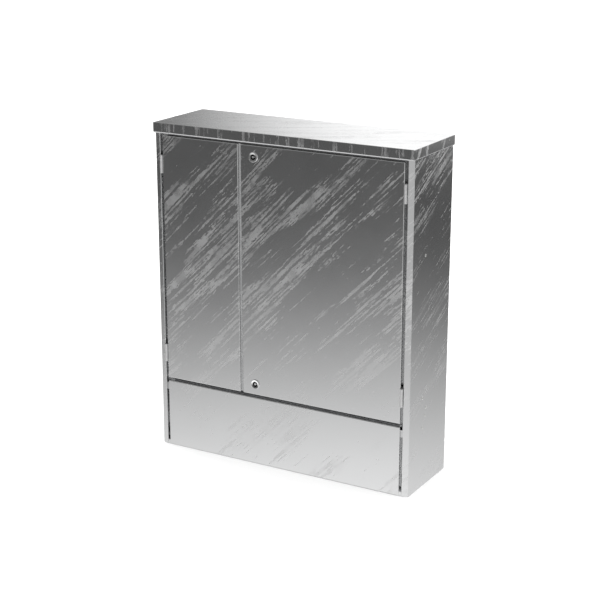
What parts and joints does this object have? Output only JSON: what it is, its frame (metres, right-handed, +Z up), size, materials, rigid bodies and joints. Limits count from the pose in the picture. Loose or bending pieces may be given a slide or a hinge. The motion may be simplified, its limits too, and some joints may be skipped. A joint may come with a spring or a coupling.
{
  "type": "roadside cable distribution cabinet",
  "caption": "Free-standing zinc-coated sheet-steel street cabinet with a narrow and a wide lift-off door, quarter-turn locks, plinth plate and distribution gear inside.",
  "frame": {"origin": "centre of the footprint, on the ground", "axes": "+Z up, the doors face -Y, the narrow door is on the -X side"},
  "size_m": [0.781, 0.2439, 0.93],
  "materials": {
    "zinc_sheet": "zinc-coated, drawn streaks",
    "frame_sheet": "zinc-coated, dull",
    "hinge_steel": "bright zinc plated",
    "pin_steel": "ground",
    "lock_chrome": "polished",
    "lock_core": "satin",
    "plated_steel": "bright zinc plated",
    "fasteners": "bright zinc plated",
    "copper_bar": "drawn copper",
    "insulator": "moulded polyester",
    "fuse_housing": "moulded",
    "fuse_ceramic": "unglazed"
  },
  "bodies": {
    "cabinet": {"roof_cap": "zinc_sheet", "left_side_panel": "zinc_sheet", "right_side_panel": "zinc_sheet", "back_panel": "zinc_sheet", "top_front_rail": "frame_sheet", "top_catch_strip": "frame_sheet", "lower_cross_rail": "frame_sheet", "front_base_rail": "frame_sheet", "rear_base_rail": "frame_sheet", "roof_screws": "fasteners", "back_rivets": "fasteners", "side_rivets": "fasteners", "plinth_plate": "zinc_sheet", "frame_leaf_left_upper": "hinge_steel", "frame_leaf_left_lower": "hinge_steel", "frame_leaf_right_upper": "hinge_steel", "frame_leaf_right_lower": "hinge_steel", "hinge_pin_left_upper": "pin_steel", "hinge_pin_left_lower": "pin_steel", "hinge_pin_right_upper": "pin_steel", "hinge_pin_right_lower": "pin_steel", "left_upright": "frame_sheet", "right_upright": "frame_sheet", "upper_mounting_rail": "frame_sheet", "lower_mounting_rail": "frame_sheet", "cable_clamp_rail": "frame_sheet", "rail_screws": "fasteners", "busbar_support_left": "insulator", "busbar_support_right": "insulator", "busbar_1": "copper_bar", "busbar_2": "copper_bar", "busbar_3": "copper_bar", "fuse_rail_1": "fuse_housing", "fuse_rail_2": "fuse_housing", "fuse_rail_3": "fuse_housing", "fuse_links_1": "fuse_ceramic", "fuse_links_2": "fuse_ceramic", "fuse_links_3": "fuse_ceramic", "pen_bar": "copper_bar", "bar_bolts": "fasteners", "cable_clamp_1": "plated_steel", "cable_clamp_2": "plated_steel", "cable_clamp_3": "plated_steel"},
    "narrow_leaf": {"narrow_door": "zinc_sheet", "door_leaf_left_upper": "hinge_steel", "door_leaf_left_lower": "hinge_steel", "bolt_guide": "hinge_steel"},
    "wide_leaf": {"wide_door": "zinc_sheet", "door_leaf_right_upper": "hinge_steel", "door_leaf_right_lower": "hinge_steel", "lock_housing_upper": "lock_chrome", "lock_housing_lower": "lock_chrome", "lock_nuts": "fasteners"},
    "upper_lock": {"lock_spindle_upper": "lock_core", "lock_cam_upper": "plated_steel", "cam_screw_upper": "fasteners"},
    "lower_lock": {"lock_spindle_lower": "lock_core", "lock_cam_lower": "plated_steel", "cam_screw_lower": "fasteners"},
    "bolt": {"slide_bolt": "plated_steel"}
  },
  "joints": [
    {"name": "narrow_door_hinge", "type": "hinge", "parent": "cabinet", "child": "narrow_leaf", "pos_m": [-0.368, -0.11775, 0.55], "axis": [0, 0, -1], "range_deg": [0, 115]},
    {"name": "wide_door_hinge", "type": "hinge", "parent": "cabinet", "child": "wide_leaf", "pos_m": [0.368, -0.11775, 0.55], "axis": [0, 0, 1], "range_deg": [0, 115]},
    {"name": "upper_lock_turn", "type": "hinge", "parent": "wide_leaf", "child": "upper_lock", "pos_m": [-0.076, -0.11655, 0.865], "axis": [0, -1, 0], "range_deg": [0, 90]},
    {"name": "lower_lock_turn", "type": "hinge", "parent": "wide_leaf", "child": "lower_lock", "pos_m": [-0.076, -0.11655, 0.234], "axis": [0, 1, 0], "range_deg": [0, 90]},
    {"name": "bolt_slide", "type": "slide", "parent": "narrow_leaf", "child": "bolt", "axis": [0, 0, 1], "range_m": [0, 0.018]}
  ]
}
